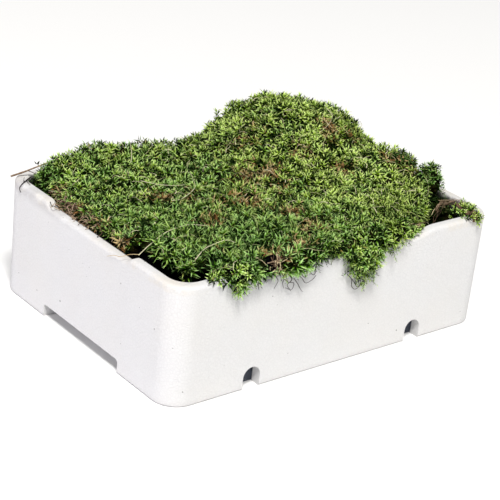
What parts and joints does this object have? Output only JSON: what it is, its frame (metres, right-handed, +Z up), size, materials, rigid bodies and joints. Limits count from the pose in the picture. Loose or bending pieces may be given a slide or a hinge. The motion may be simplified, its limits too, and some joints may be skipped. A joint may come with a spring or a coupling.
{
  "type": "moss clump",
  "caption": "Clump of green moss, laid as overlapping mats with a raised hump, in a low white foam box, hanging over its front rim.",
  "frame": {"origin": "centre of the foam box's underside, the face it stands on", "axes": "+X along the long sides, +Y from the front long side, where the moss hangs over the rim, to the back, +Z up"},
  "size_m": [0.4032, 0.3097, 0.1866],
  "materials": {
    "foam": "white moulded bead foam, finely pitted and matte, with a stained rim",
    "moss_mid": "short upright shoots, mid green, matte",
    "moss_dark": "short upright shoots, deep green, matte",
    "moss_olive": "short upright shoots, yellow-green with brown tips, matte",
    "sprig": "small leafy sprig on pinkish-brown stems, matte",
    "dry_grass": "pale dry grass blade, slightly satin",
    "bark": "thin dark twig, matte"
  },
  "bodies": {
    "root": {"foam_box": "foam", "moss_mat_left": "moss_mid", "moss_mat_front": "moss_dark", "moss_mat_raised": "moss_olive", "moss_sprig": "sprig", "grass_blade_1": "dry_grass", "grass_blade_2": "dry_grass", "grass_blade_3": "dry_grass", "grass_blade_4": "dry_grass", "grass_blade_5": "dry_grass", "grass_blade_6": "dry_grass", "twig_corner": "bark", "twig_hooked": "bark"}
  },
  "joints": []
}
